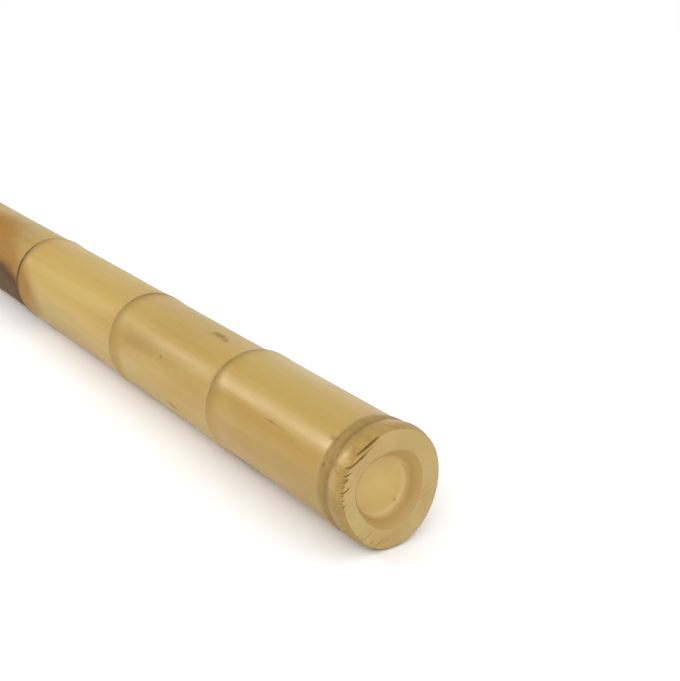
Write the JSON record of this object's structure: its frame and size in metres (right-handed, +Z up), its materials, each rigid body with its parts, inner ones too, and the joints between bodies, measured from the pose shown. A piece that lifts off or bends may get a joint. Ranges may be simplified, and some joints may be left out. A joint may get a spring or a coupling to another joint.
{
  "type": "bamboo cane",
  "caption": "Straight length of dried natural bamboo with swollen scar rings at its nodes, sawn square at both ends, lying on its side.",
  "frame": {"origin": "on the ground under the middle of the cane, at the middle of the bounding box's base", "axes": "+X along the cane towards its root end, +Z up"},
  "size_m": [1.2, 0.051, 0.0471],
  "materials": {
    "bamboo": "dried golden bamboo skin with a semi-gloss natural wax"
  },
  "bodies": {
    "root": {"bamboo_cane": "bamboo"}
  },
  "joints": []
}
